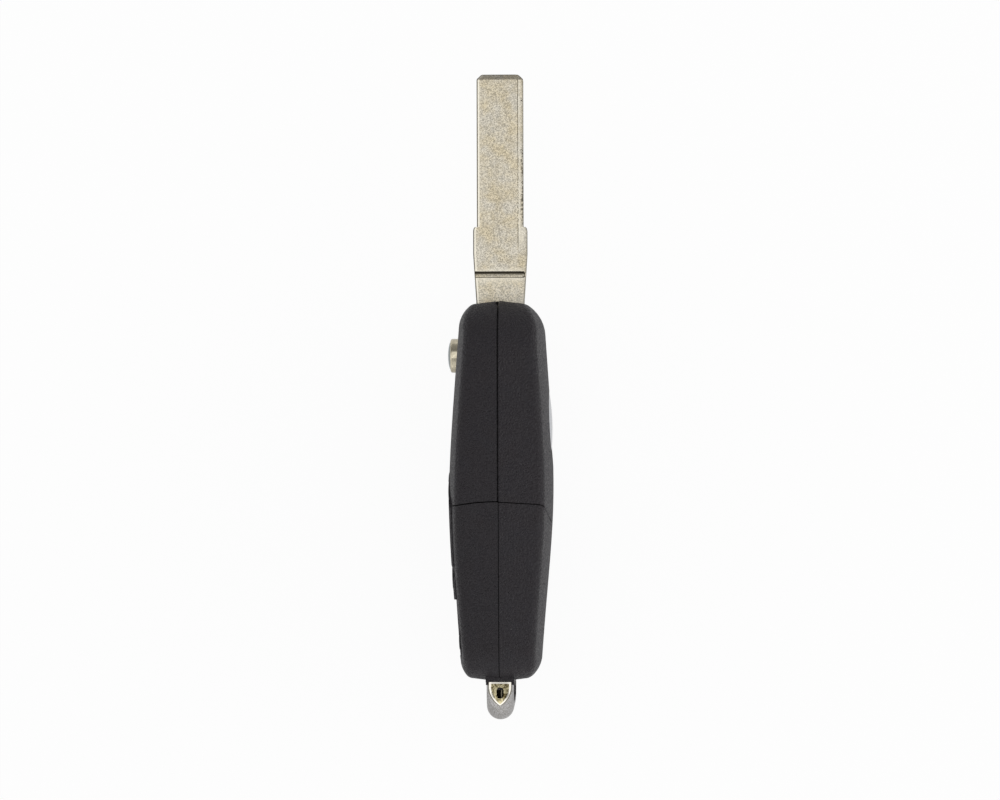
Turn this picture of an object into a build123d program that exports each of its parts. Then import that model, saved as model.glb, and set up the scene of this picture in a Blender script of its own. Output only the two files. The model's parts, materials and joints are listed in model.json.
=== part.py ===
from build123d import *
from math import atan2, cos, pi, radians, sin
import os

os.makedirs("parts", exist_ok=True)

# A flip remote key, stood on the long edge that the blade folds into.
# X runs through its thickness (front, with the buttons, is -X; back is +X),
# Y runs along it towards the blade's tip, Z runs across its width.
# The two casing halves of each module meet on the plane X = 0. All sizes in mm.

# Blade and pivot
TIP_REACH = 51.3          # pivot to the blade's tip
BLADE_OFFSET = 7.7        # pivot to the blade's middle plane
BLADE_THICK = 3.0
BLADE_WIDTH = 8.5
SHOULDER_WIDTH = 9.9
ROOT_WIDTH = 8.8
SHOULDER_REACH = 23.4     # pivot to the blade's shoulders
SHOULDER_LENGTH = 5.0
SHOULDER_CHAMFER = 0.7
GROOVE_REACH = 14.7       # pivot to the groove across the blade
GROOVE_WIDTH = 1.2
GROOVE_DEPTH = 0.35
GROOVE_STOP = 0.4         # left uncut at one end of the groove
LEDGE_INSET = 1.05        # step along one edge of the blade
LEDGE_DEPTH = 0.25
TIP_CHAMFER = 0.95
TIP_BEVEL, TIP_BEVEL_DEPTH = 0.9, 0.6
ROOT_REACH = 5.3          # pivot to where the blade leaves its tang
TANG_WIDTH = 5.2
TANG_LENGTH = 7.0
ROLL_PIN_R = 0.8
ROLL_PIN_SINK = 0.2       # each end of the pin below the hub's face
FOLDED_FACE = 1.1         # lowest face of the folded blade above the edge

# Hub, post, spring and release button
HUB_WIDTH = 9.8
HUB_CLEAR = 0.4           # round the turning hub and blade
HUB_CHAMFER = 0.4
POST_R = 1.5
POST_ROOT = 1.8           # length of the post held in the back shell
POST_NOSE = 0.4           # length of the post inside the button
RUNNING = 0.06            # radial running clearance
SEAT = 0.03               # radial clearance of fixed round pieces
RECESS_R = 4.5
RELEASE_R = 3.15
RELEASE_TOP = 9.6         # crown of the release button from the parting plane
RELEASE_TRAVEL = 1.6
RELEASE_GAP = 0.15
FLANGE_R = 4.2
FLANGE_THICK = 0.8
FLANGE_SINK = 0.2         # flange below the hub's side wall
FLANGE_GAP = 0.2
FLANGE_REST = 0.02        # flange's face to the shell it rests on
STEM_R = 2.4
STEM_LENGTH = 1.2
CAP_WALL = 1.4
CAP_ROUND = 0.7
SPRING_WIRE = 0.6
SPRING_R = 3.3
SPRING_TURNS = 3
SPRING_GAP = 0.05
SPRING_SPARE = 0.3        # room left beyond the closed spring at full press

# Casing
WIDTH = 36.0              # across the head
FOOT_NARROW = 2.7         # narrower by this across the loop end
HEAD_REACH = 9.8          # pivot to the head's top
EDGE_TRIM = 0.9           # cut off the folding edge to leave it flat
TOP_BOW = 0.4             # rise of each curved side of the outline
FOOT_BOW = 0.6
SIDE_BOW = 0.7
SIDE_PEAK = 7.0           # widest place above the seam
CORNERS = (6.0, 9.3, 9.0, 7.0)   # folding edge foot and top, far edge top and foot
DRAFT = 7.0               # taper of the side walls, degrees
EDGE_ROUND = 1.7          # between the faces and the side walls
FRONT_ENDS = (5.4, 3.9)   # radii by which each face turns down at its top and its foot,
BACK_ENDS = (6.9, 4.8)
END_INSET = 0.88          # that far from the end as a share of the radius,
END_LEAN = 20.0           # to this many degrees off the end wall
CROWN_R = 90.0            # crown of the faces across the width
FRONT_TOP = 7.6           # half thickness of the front: at the top,
FRONT_HEAD = 8.6          # half way down the head,
FRONT_SEAM = 9.45         # at the seam,
FRONT_REMOTE = 8.7        # half way down the remote,
FRONT_FOOT = 7.4          # and at the lower end
BACK_TOP = 8.2
BACK_HEAD = 9.0
BACK_SEAM = 9.6
BACK_REMOTE = 8.5
BACK_FOOT = 7.5
SEAM_REACH = 26.2         # pivot to the seam between the head and the remote
SEAM_DIP_FRONT = 1.1
SEAM_DIP_BACK = 4.4
ARCH_RISE = 6.1
ARCH_SPARE = 0.2          # arch wider than the panel on each side
SEAM_GAP = 0.2
SHADOW_GAP_HEAD = 0.3
SHADOW_GAP_REMOTE = 0.14
SHADOW_DEPTH = 0.7
NOTCH_WIDTH = 0.6
NOTCH_DEPTH = 0.9
NOTCH_LIFT = 3.0          # blade's middle plane to the notch
SLOT_WIDTH = 10.4
SLOT_GAP = 0.3
SLOT_FLOOR_GAP = 0.5
SLOT_END_GAP = 1.0        # past the folded blade's tip
SLOT_WALL = 1.2           # between the slot and the remote's hollow

# Remote module
WALL = 1.6
FRONT_SKIN = 6.1          # plane of the keypad panel's seat
FRONT_INNER = 5.1         # inner face of the front wall
BACK_INNER = 6.0
CAVITY_TOP_WALL = 1.0     # between the back seam and the hollow
CAVITY_FOOT = 4.95        # solid foot that holds the loop
KEY_ROOM_RISE = 3.0       # where the hollow under the arch starts below the top wall
KEY_ROOM_WALL = 2.2       # at each side of that hollow
PANEL_MARGIN = 5.0        # casing at each side of the panel
PANEL_CROWN_R = 300.0
PANEL_SHOULDER = 5.4      # lengths along the panel below the seam, and its half
PANEL_SHOULDER_X = 9.21   # thicknesses there, at the step and at its foot
PANEL_TIER = 17.8
PANEL_TIER_X = 8.42
PANEL_TIER_DROP = 0.4
PANEL_TOP_DROP = 0.6
PANEL_FOOT_X = 7.15
PANEL_FOOT_MARGIN = 4.4   # casing below the panel
PANEL_ROUND = 5.0
PANEL_RIM = 0.3           # casing left round the panel's arched top
VEE_WIDTH = 3.1
VEE_DEPTH = 0.65
BUTTON_TRAVEL = 0.4
BUTTON_GAP = 0.15
BUTTON_FLANGE = 0.6
BUTTON_LIP = 0.7
BUTTON_CROWN = 0.7
BUTTON_ROUND = 0.48       # corner radius as a share of the length
BUTTON_SHOW = 0.35        # crown above the valley's shoulders
# place below the seam as a share of the remote's length, then the height of the
# crown, the length along Y and the width of each button
LOCK_KEY = (-0.0424, 9.6, 5.0, 10.5)
UNLOCK_KEY = (0.403, 8.93, 6.6, 13.0)
BOOT_KEY = (0.7727, 7.72, 4.4, 10.0)
MEMBRANE_THICK = 0.6
MEMBRANE_GAP = 0.05
BOARD_THICK = 0.8
BOARD_FACE = 2.1          # front face of the circuit board from the parting plane
BOARD_GAP = 0.3
SWITCH_SIDE, SWITCH_LENGTH, SWITCH_THICK = 4.2, 3.4, 0.9
SWITCH_CAP_R, SWITCH_CAP = 1.0, 0.3
CELL_R, CELL_THICK = 10.0, 3.2
CELL_X = 0.9              # front face of the cell from the parting plane
CELL_STEP, CELL_STEP_R = 0.3, 1.2
CELL_CLEAR = 1.25         # hollow past the cell at each end
CELL_SIDE = 0.7           # cell to the wall beside the slot
CLIP_THICK, CLIP_WIDTH = 0.3, 5.0
CLIP_GAP, CLIP_FOOT = 0.5, 2.6
CLIP_ENDS = (-0.7, -0.35, 0.1, 0.4)   # bends of the contacts, as shares of the cell's radius
CLIP_SIDE = 2.0
# length along Y, width and height of each piece on the board's back, then its place
# from the cell's middle as shares of the cell's radius
REMOTE_CHIP = (5.0, 5.0, 1.0, 0.6, 0.35)
RESONATOR = (3.0, 5.0, 1.2, -0.7, -0.05)
ANTENNA = (3.0, 5.0, 1.4, 0.55, -0.65)
ANTENNA_BAR = 0.8

# Key ring loop
LOOP_DROP = 6.8           # casing's lower end to the loop's
LOOP_BAR = 4.9            # across the half-round bar
LOOP_DEPTH = 3.0
LOOP_MARGIN = 5.05        # casing's side to the middle of each leg
LOOP_SHIFT = 0.35         # legs off the foot's middle, away from the folding edge
LOOP_CORNER = 4.0
LOOP_SEAT = 1.0           # end of each leg short of the hollow
LOOP_NECK = 4.4           # across each leg inside its collar
LOOP_FLAT = 1.15          # depth of the polished flat on each shoulder
LOOP_DISH_R, LOOP_DISH = 5.0, 0.3   # hollow dished into each flat
LOOP_HOLE_R, LOOP_HOLE_LENGTH, LOOP_HOLE_DROP = 0.65, 2.0, 1.7
LOOP_PIN_R, LOOP_PIN_LENGTH, LOOP_PIN_RISE = 0.7, 4.6, 1.9
COLLAR_WALL = 0.35
COLLAR_RISE = 0.4         # end of each collar above the casing's lower end,
COLLAR_SKIRT = 0.25       # and of its lower tier below it
COLLAR_STEP = 1.6
SCOOP_R, SCOOP_DEPTH = 20.0, 2.4

# Badge, screw and transponder
BADGE_R = 7.0
BADGE_REACH = 13.6        # pivot to the badge's centre
BADGE_THICK = 1.2
BADGE_PROUD = 0.3
BADGE_SEAT = 0.15         # badge's middle above the head's half-way thickness
BADGE_GAP = 0.05
SCREW_R, SCREW_HEAD_R, SCREW_HEAD = 1.0, 1.9, 1.3
SCREW_LENGTH = 11.0
SCREW_GAP = 0.1           # round the screw's head, and over it
SCREW_TIP_GAP = 0.3
SCREW_SLOT_WIDTH, SCREW_SLOT_LENGTH, SCREW_SLOT_DEPTH = 0.5, 2.4, 0.7
CHIP_SIZE = (2.6, 11.0, 5.0)
CHIP_DROP, CHIP_LIFT, CHIP_ROUND = 0.5, 6.0, 0.8   # below the pivot, above the blade

# Worked-out places: the hollow is as long as its cell needs, and the casing follows
HOLLOW = 2 * (CELL_R + CELL_CLEAR)
BODY_REACH = SEAM_REACH + SEAM_DIP_BACK + SEAM_GAP + CAVITY_TOP_WALL + HOLLOW + CAVITY_FOOT
LOOP_REACH = BODY_REACH + LOOP_DROP
PIVOT_Y = (LOOP_REACH - TIP_REACH) / 2
PIVOT_Z = FOLDED_FACE + BLADE_THICK / 2 + BLADE_OFFSET
BLADE_Z = PIVOT_Z + BLADE_OFFSET
TOP_Y = PIVOT_Y + HEAD_REACH
FOOT_Y = PIVOT_Y - BODY_REACH
SEAM_Y = PIVOT_Y - SEAM_REACH
MID_Z = WIDTH / 2
FOOT_WIDTH = WIDTH - FOOT_NARROW
LOOP_Y = PIVOT_Y - LOOP_REACH
LOOP_Z = FOOT_WIDTH / 2 + LOOP_SHIFT
LOOP_HALF = FOOT_WIDTH / 2 - LOOP_MARGIN
PANEL_HALF = WIDTH / 2 - PANEL_MARGIN
ARCH_HALF = PANEL_HALF + ARCH_SPARE
HUB_R = BLADE_OFFSET + BLADE_THICK / 2
SLOT_FLOOR = FOLDED_FACE + BLADE_THICK + SLOT_FLOOR_GAP
FAR = 75.0                # past the part along it and across it
OUT = 14.0                # past either face


def stations(ends, top, head, seam, remote, foot):
    """Half thicknesses of one face with their places along Y, from top to foot."""
    places = (TOP_Y - END_INSET * ends[0], (TOP_Y + SEAM_Y) / 2, SEAM_Y, (SEAM_Y + FOOT_Y) / 2,
              FOOT_Y + END_INSET * ends[1])
    return list(zip(places, (top, head, seam, remote, foot)))


def plan(shape, x=0.0):
    """Puts a flat drawing of (Y, Z) on the plane at x, facing +X."""
    return Plane.YZ.offset(x) * shape


def block(x0, x1, y0, y1, z0, z1):
    return Pos((x0 + x1) / 2, (y0 + y1) / 2, (z0 + z1) / 2) * Box(x1 - x0, y1 - y0, z1 - z0)


def rod(r, x0, x1, y, z):
    """A round bar along X."""
    return extrude(plan(Pos(y, z) * Circle(r), x0), amount=x1 - x0)


def rounded_corner(face, corner, radius):
    vertex = face.vertices().sort_by_distance(Vector(*corner, 0))[0]
    return fillet(vertex, radius)


def casing_outline(inset=0.0):
    """The casing seen from the front: (Y, Z), with the folding edge straight."""
    top, foot, edge = TOP_Y - TOP_BOW - inset, FOOT_Y + FOOT_BOW + inset, inset - EDGE_TRIM
    corners = [(foot, edge), (top, edge), (top, WIDTH - SIDE_BOW - inset),
               (foot, FOOT_WIDTH - inset)]
    a, b, c, d = corners
    face = make_face([
        Line(a, b),
        ThreePointArc(b, (TOP_Y - inset, (b[1] + c[1]) / 2), c),
        ThreePointArc(c, (SEAM_Y + SIDE_PEAK, WIDTH - inset), d),
        ThreePointArc(d, (FOOT_Y + inset, (d[1] + a[1]) / 2), a),
    ])
    for corner, radius in zip(corners, CORNERS):
        face = rounded_corner(face, corner, radius - inset)
    return face


def end_turn(ridge, at, side, radius):
    """Arc that turns a ridge down at its start or end, and the straight run after it."""
    end = 1 - 2 * at
    along = (ridge % at) * -end
    first, last = atan2(along.Y * end, along.X * side), pi - radians(END_LEAN)
    centre = ridge @ at + Vector(-side * sin(first), end * cos(first)) * radius
    mid, stop = [centre + Vector(side * sin(turn), -end * cos(turn)) * radius
                 for turn in ((first + last) / 2, last)]
    run = Vector(side * cos(last), end * sin(last)) * (2 * radius)
    return [ThreePointArc(ridge @ at, mid, stop), Line(stop, stop + run)]


def crowned(side, ridge_points, crown_r=CROWN_R, ends=(0, 0)):
    """The solid under a face crowned both ways, drawn by its (y, half thickness) points."""
    ridge = Spline([(side * t, y) for y, t in ridge_points])
    axis_x = -side * (crown_r - max(t for y, t in ridge_points))
    profile, tips = [ridge], []
    for at in (0, 1):
        turn = end_turn(ridge, at, side, ends[at]) if ends[at] else []
        profile += turn
        tips.append(turn[1] @ 1 if turn else ridge @ at)
    profile += [Line(tip, (axis_x, tip.Y)) for tip in tips]
    profile.append(Line((axis_x, tips[0].Y), (axis_x, tips[1].Y)))
    return revolve(Pos(0, 0, MID_Z) * make_face(profile), Axis((axis_x, 0, MID_Z), (0, 1, 0)), 360)


def half(side, ends, *thicknesses):
    """One crowned casing half from top to foot, its face rounded into the side walls."""
    wall = extrude(plan(casing_outline()), amount=side * OUT, taper=DRAFT)
    solid = wall & crowned(side, stations(ends, *thicknesses), ends=ends)
    rim = [e for e in solid.edges() if side * e.bounding_box().center().X > EDGE_ROUND]
    return fillet(rim, EDGE_ROUND)


def loop_bar(grow=0.0):
    """Half-round bar bent into a U below the casing; grow makes its pocket."""
    turn = LOOP_Y + LOOP_DEPTH / 2
    path = plan(FilletPolyline(
        (LEG_END, LOOP_Z + LOOP_HALF), (turn, LOOP_Z + LOOP_HALF),
        (turn, LOOP_Z - LOOP_HALF), (LEG_END, LOOP_Z - LOOP_HALF), radius=LOOP_CORNER))
    flat, crest, wide = -LOOP_DEPTH / 2 - grow, LOOP_DEPTH / 2 + grow, LOOP_BAR / 2 + grow
    section = make_face([
        Line((-wide, flat), (wide, flat)),
        Line((wide, flat), (wide, crest - wide)),
        ThreePointArc((wide, crest - wide), (0, crest), (-wide, crest - wide)),
        Line((-wide, crest - wide), (-wide, flat)),
    ])
    frame = Plane(origin=(0, LEG_END, LOOP_Z + LOOP_HALF), x_dir=(1, 0, 0), z_dir=(0, -1, 0))
    neck = LOOP_NECK / 2 + grow
    sides = (block(neck, OUT, NECK_Y, FAR, -OUT, FAR) + block(-OUT, -neck, NECK_Y, FAR, -OUT, FAR))
    return sweep(frame * section, path=path) - sides


FOOT_INNER = FOOT_Y + CAVITY_FOOT
LEG_END = FOOT_INNER - LOOP_SEAT
NECK_Y, COLLAR_Y = FOOT_Y - COLLAR_SKIRT, FOOT_Y + COLLAR_RISE
FRONT_HALF = half(-1, FRONT_ENDS, FRONT_TOP, FRONT_HEAD, FRONT_SEAM, FRONT_REMOTE, FRONT_FOOT)
BACK_HALF = half(1, BACK_ENDS, BACK_TOP, BACK_HEAD, BACK_SEAM, BACK_REMOTE, BACK_FOOT)
PARTS = {}


def keep(name, solid):
    PARTS[name] = solid


# Where the remote module meets the head
def below(curve):
    """Everything on the loop's side of a seam drawn as (X, Y), across the width."""
    start, end = curve @ 0, curve @ 1
    face = make_face([
        curve, Line(end, (end.X, -FAR)), Line((end.X, -FAR), (start.X, -FAR)),
        Line((start.X, -FAR), start)])
    return extrude(Pos(0, 0, -FAR) * face, amount=3 * FAR)


ARCH_TOP = SEAM_Y + SEAM_GAP + ARCH_RISE - SEAM_DIP_FRONT
ARCH_R = (ARCH_HALF ** 2 + ARCH_RISE ** 2) / (2 * ARCH_RISE)
ARCH_Y = ARCH_TOP - ARCH_R
front_seam = ThreePointArc(
    (FRONT_SEAM, SEAM_Y - SEAM_DIP_FRONT), (0, SEAM_Y), (-FRONT_SEAM, SEAM_Y - SEAM_DIP_FRONT))
FRONT_REGION = below(front_seam) + rod(ARCH_R, -OUT, 0, ARCH_Y, MID_Z)
back_seam = ThreePointArc(
    (SEAM_Y, WIDTH), (SEAM_Y - SEAM_DIP_BACK, MID_Z), (SEAM_Y, 0))
BACK_REGION = extrude(plan(make_face([
    back_seam, Line((SEAM_Y, 0), (SEAM_Y, -FAR)), Line((SEAM_Y, -FAR), (-FAR, -FAR)),
    Line((-FAR, -FAR), (-FAR, FAR)), Line((-FAR, FAR), (SEAM_Y, FAR)),
    Line((SEAM_Y, FAR), (SEAM_Y, WIDTH))])), amount=OUT)
lower = Pos(0, -SEAM_GAP, 0)

# The flat folding edge, the blade's slot, and the shadow line between the halves
EDGE_CUT = block(-OUT, OUT, -FAR, FAR, -OUT, 0)
SLOT_END = PIVOT_Y - TIP_REACH - SLOT_END_GAP
SLOT = (
    block(-SLOT_WIDTH / 2, SLOT_WIDTH / 2, SLOT_END, PIVOT_Y, -OUT, SLOT_FLOOR)
    + block(-SLOT_WIDTH / 2, SLOT_WIDTH / 2, PIVOT_Y, FAR, -OUT,
            BLADE_Z + BLADE_THICK / 2 + SLOT_GAP)
    + rod(HUB_R + HUB_CLEAR, -SLOT_WIDTH / 2, SLOT_WIDTH / 2, PIVOT_Y, PIVOT_Z))


def shadow_line(gap):
    rim = casing_outline(-1.0) - casing_outline(SHADOW_DEPTH)
    return extrude(plan(rim), amount=-gap)


# Blade: stamped nickel silver with an uncut ledge, pinned to its hub
def blade_solid():
    tip, shoulder = PIVOT_Y + TIP_REACH, PIVOT_Y + SHOULDER_REACH
    bottom, top = BLADE_Z - BLADE_THICK / 2, BLADE_Z + BLADE_THICK / 2
    narrow, wide, root = BLADE_WIDTH / 2, SHOULDER_WIDTH / 2, ROOT_WIDTH / 2
    side = [
        (narrow - TIP_CHAMFER, tip), (narrow, tip - TIP_CHAMFER), (narrow, shoulder),
        (wide - SHOULDER_CHAMFER / 2, shoulder), (wide, shoulder - SHOULDER_CHAMFER),
        (wide, shoulder - SHOULDER_LENGTH), (root, TOP_Y), (root, BLADE_START),
        (TANG_WIDTH / 2, BLADE_START), (TANG_WIDTH / 2, BLADE_START - TANG_LENGTH)]
    outline = side + [(-x, y) for x, y in reversed(side)]
    solid = extrude(Pos(0, 0, bottom) * make_face(Polyline(*outline, close=True)),
                    amount=BLADE_THICK)
    tip_edges = [e for e in solid.edges()
                 if abs(e.center().Y - tip) < 0.01 and abs(e.center().Z - BLADE_Z) > 1]
    solid = chamfer(tip_edges, TIP_BEVEL_DEPTH, TIP_BEVEL)
    groove_y = PIVOT_Y + GROOVE_REACH
    groove = block(-wide, wide - GROOVE_STOP, groove_y - GROOVE_WIDTH / 2, groove_y + GROOVE_WIDTH / 2,
                   top - GROOVE_DEPTH, top + 1)
    ledge = block(narrow - LEDGE_INSET, wide + 1, shoulder - SHOULDER_LENGTH, tip + 1,
                  top - LEDGE_DEPTH, top + 1)
    back_ledge = block(-wide - 1, LEDGE_INSET - narrow, shoulder - SHOULDER_LENGTH, tip + 1,
                       bottom - 1, bottom + LEDGE_DEPTH)
    return solid - groove - ledge - back_ledge


BLADE_START = PIVOT_Y + ROOT_REACH
PIN_Y = BLADE_START - TANG_LENGTH / 2
blade = blade_solid()
roll_pin_hole = rod(ROLL_PIN_R + SEAT, -HUB_WIDTH / 2, HUB_WIDTH / 2, PIN_Y, BLADE_Z)
drum = rod(HUB_R, -HUB_WIDTH / 2, HUB_WIDTH / 2, PIVOT_Y, PIVOT_Z)
drum = chamfer(drum.edges(), HUB_CHAMFER)
FLANGE_FACE = -(SLOT_WIDTH / 2 + FLANGE_THICK + FLANGE_SINK)
SPRING_FACE = FLANGE_FACE + FLANGE_THICK
HUB_FRONT = SPRING_FACE + RELEASE_TRAVEL + (SPRING_TURNS + 1) * SPRING_WIRE + SPRING_SPARE
recess = rod(RECESS_R, -HUB_WIDTH / 2, HUB_FRONT, PIVOT_Y, PIVOT_Z)
bore = rod(POST_R + RUNNING, -HUB_WIDTH / 2, HUB_WIDTH / 2, PIVOT_Y, PIVOT_Z)
blade_room = block(-HUB_WIDTH, HUB_WIDTH, BLADE_START, BLADE_START + HUB_R,
                   BLADE_Z - BLADE_THICK / 2, BLADE_Z + HUB_R)
tang_room = block(-TANG_WIDTH / 2, TANG_WIDTH / 2, BLADE_START - TANG_LENGTH, BLADE_START,
                  BLADE_Z - BLADE_THICK / 2, BLADE_Z + HUB_R)
keep("key_blade", blade - roll_pin_hole)
keep("blade_hub", drum - recess - bore - blade_room - tang_room - roll_pin_hole)
pin_end = HUB_WIDTH / 2 - ROLL_PIN_SINK
keep("blade_roll_pin", rod(ROLL_PIN_R, -pin_end, pin_end, PIN_Y, BLADE_Z))

# Release button on the pivot post, with the spring that flips the blade
POST_TIP = -(SLOT_WIDTH / 2 + FLANGE_THICK + POST_NOSE)
POST_END = SLOT_WIDTH / 2 + POST_ROOT
keep("pivot_post", rod(POST_R, POST_TIP, POST_END, PIVOT_Y, PIVOT_Z))
cap = rod(RELEASE_R, -RELEASE_TOP, FLANGE_FACE, PIVOT_Y, PIVOT_Z)
cap = fillet(cap.edges().filter_by(GeomType.CIRCLE).sort_by(Axis.X)[0], CAP_ROUND)
STEM_END = SPRING_FACE + STEM_LENGTH
button = (
    cap + rod(FLANGE_R, FLANGE_FACE, SPRING_FACE, PIVOT_Y, PIVOT_Z)
    + rod(STEM_R, FLANGE_FACE, STEM_END, PIVOT_Y, PIVOT_Z)
    - rod(POST_R + RUNNING, -RELEASE_TOP + CAP_WALL, STEM_END, PIVOT_Y, PIVOT_Z))
keep("release_button", button)
spring_room = HUB_FRONT - SPRING_FACE - SPRING_WIRE - 2 * SPRING_GAP
coil = Helix(pitch=spring_room / SPRING_TURNS, height=spring_room, radius=SPRING_R,
             center=(0, 0, 0), direction=(0, 0, 1))
wire_section = Plane(origin=coil @ 0, z_dir=coil % 0) * Circle(SPRING_WIRE / 2)
spring = sweep(wire_section, path=coil)
spring_start = SPRING_FACE + SPRING_WIRE / 2 + SPRING_GAP
keep("flip_spring", Pos(spring_start, PIVOT_Y, PIVOT_Z) * Rot(0, 90, 0) * spring)

# Head shells
head_pockets = SLOT + EDGE_CUT
chip_x, chip_y, chip_z = CHIP_SIZE
CHIP_Y0 = PIVOT_Y - chip_y - CHIP_DROP
CHIP_Z0 = BLADE_Z + CHIP_LIFT
chip_room = block(-chip_x / 2, chip_x / 2, CHIP_Y0, CHIP_Y0 + chip_y, CHIP_Z0, CHIP_Z0 + chip_z)
chip = fillet(chip_room.edges().filter_by(Axis.Y), CHIP_ROUND)
keep("transponder_chip", chip)
BADGE_Y = PIVOT_Y - BADGE_REACH
badge_back = BACK_HEAD + BADGE_SEAT - BADGE_THICK
screw_seat = badge_back - SCREW_HEAD
notch = block(-NOTCH_WIDTH, 0, TOP_Y - NOTCH_DEPTH, FAR, BLADE_Z + NOTCH_LIFT, FAR)

head_front = FRONT_HALF - FRONT_REGION - head_pockets - shadow_line(SHADOW_GAP_HEAD) - notch
head_front -= rod(RELEASE_R + RELEASE_GAP, -OUT, 0, PIVOT_Y, PIVOT_Z)
head_front -= rod(FLANGE_R + FLANGE_GAP, FLANGE_FACE - FLANGE_REST, 0, PIVOT_Y, PIVOT_Z)
head_front -= chip_room
head_front -= rod(SCREW_R + SEAT, screw_seat - SCREW_LENGTH - SCREW_TIP_GAP, 0, BADGE_Y, MID_Z)
keep("head_front_shell", head_front)

head_back = BACK_HALF - BACK_REGION - head_pockets - chip_room
head_back -= rod(POST_R + SEAT, 0, POST_END, PIVOT_Y, PIVOT_Z)
head_back -= rod(BADGE_R + BADGE_GAP, badge_back, OUT, BADGE_Y, MID_Z)
head_back -= rod(SCREW_HEAD_R + SCREW_GAP, screw_seat, OUT, BADGE_Y, MID_Z)
head_back -= rod(SCREW_R + SEAT, 0, OUT, BADGE_Y, MID_Z)
keep("head_back_shell", head_back)

screw = rod(SCREW_R, screw_seat - SCREW_LENGTH, screw_seat, BADGE_Y, MID_Z)
screw_top = screw_seat + SCREW_HEAD - SCREW_GAP
screw += rod(SCREW_HEAD_R, screw_seat, screw_top, BADGE_Y, MID_Z)
keep("head_screw", screw - block(
    screw_top - SCREW_SLOT_DEPTH, OUT, BADGE_Y - SCREW_SLOT_LENGTH / 2,
    BADGE_Y + SCREW_SLOT_LENGTH / 2, MID_Z - SCREW_SLOT_WIDTH / 2, MID_Z + SCREW_SLOT_WIDTH / 2))
badge_edge = badge_back + BADGE_THICK - BADGE_PROUD
badge_crown = badge_back + BADGE_THICK + BADGE_PROUD
badge_rise = badge_crown - badge_edge
badge_dome_r = (BADGE_R ** 2 + badge_rise ** 2) / (2 * badge_rise)
dome = Pos(badge_crown - badge_dome_r, BADGE_Y, MID_Z) * Sphere(badge_dome_r)
keep("back_badge", rod(BADGE_R, badge_back, badge_crown, BADGE_Y, MID_Z) & dome)

# Remote module: cavities
CAVITY_TOP = FOOT_INNER + HOLLOW
ROOM_FLOOR = SLOT_FLOOR + SLOT_WALL


def room(inset, top):
    """Plan of the hollow from the foot wall to the top wall, clear of the blade's slot."""
    foot, floor = FOOT_INNER + inset, ROOM_FLOOR + inset
    window = Pos((foot + top - inset) / 2, floor + FAR / 2) * Rectangle(top - foot - inset, FAR)
    return casing_outline(WALL + inset) & window


def key_room(inset):
    """The front hollow, which runs up under the arch to the lock button."""
    tongue = Pos(ARCH_Y, MID_Z) * Circle(ARCH_R - SEAM_GAP - CAVITY_TOP_WALL - inset)
    tongue &= Pos(CAVITY_TOP, MID_Z) * Rectangle(FAR, 2 * (ARCH_HALF - KEY_ROOM_WALL - inset))
    tongue -= Pos(CAVITY_TOP - KEY_ROOM_RISE - FAR / 2, MID_Z) * Rectangle(FAR, FAR)
    return room(inset, CAVITY_TOP) + tongue


KEY_ROOM = extrude(plan(key_room(0), -FRONT_INNER), amount=FRONT_INNER)
BACK_ROOM = extrude(plan(room(0, CAVITY_TOP)), amount=BACK_INNER)

# Keypad panel
PANEL_FOOT = FOOT_Y + PANEL_FOOT_MARGIN
TIER_Y = SEAM_Y - PANEL_TIER
panel_low = Pos((PANEL_FOOT + ARCH_Y) / 2, MID_Z) * RectangleRounded(
    ARCH_Y - PANEL_FOOT, 2 * PANEL_HALF, PANEL_ROUND)
panel_mid = Pos((PANEL_FOOT + ARCH_Y) / 2 + PANEL_ROUND, MID_Z) * Rectangle(
    ARCH_Y - PANEL_FOOT - 2 * PANEL_ROUND + SEAM_GAP, 2 * PANEL_HALF)
panel_top = Pos(ARCH_Y, MID_Z) * Circle(ARCH_R - SEAM_GAP - PANEL_RIM)
panel_top &= Pos(ARCH_Y, MID_Z) * Rectangle(2 * ARCH_R, 2 * PANEL_HALF)
panel_top -= Pos(ARCH_Y - FAR / 2, MID_Z) * Rectangle(FAR, FAR)
panel_plan = panel_low + panel_mid + panel_top
PANEL_UPPER = [(ARCH_TOP, FRONT_SEAM), (SEAM_Y - PANEL_SHOULDER, PANEL_SHOULDER_X),
               (TIER_Y, PANEL_TIER_X)]
PANEL_LOWER = [(ARCH_TOP, FRONT_SEAM - PANEL_TOP_DROP), (TIER_Y, PANEL_TIER_X - PANEL_TIER_DROP),
               (PANEL_FOOT - 1, PANEL_FOOT_X)]


def panel_solid():
    prism = extrude(plan(panel_plan, -FRONT_SKIN), amount=FRONT_SKIN - OUT)
    upper = prism & crowned(-1, PANEL_UPPER, PANEL_CROWN_R)
    lower_tier = prism & crowned(-1, PANEL_LOWER, PANEL_CROWN_R)
    return upper + lower_tier


def key_y(key):
    return SEAM_Y - key[0] * (BODY_REACH - SEAM_REACH)


def key_plan(key, grow=0.0):
    share, height, length, width = key
    shape = RectangleRounded(length + 2 * grow, width + 2 * grow, BUTTON_ROUND * length + grow)
    return Pos(key_y(key), MID_Z) * shape


def vee(key):
    """Shallow V across the panel beside a button, so its crown shows from the side."""
    y, shoulder = key_y(key), BUTTON_SHOW - key[1]
    rise = 2 * VEE_DEPTH
    spread = VEE_WIDTH / 2 * (rise + VEE_DEPTH) / VEE_DEPTH
    face = make_face(Polyline(
        (shoulder + VEE_DEPTH, y), (shoulder - rise, y + spread),
        (shoulder - rise, y - spread), close=True))
    return extrude(Pos(0, 0, MID_Z - FAR / 2) * face, amount=FAR)


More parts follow.
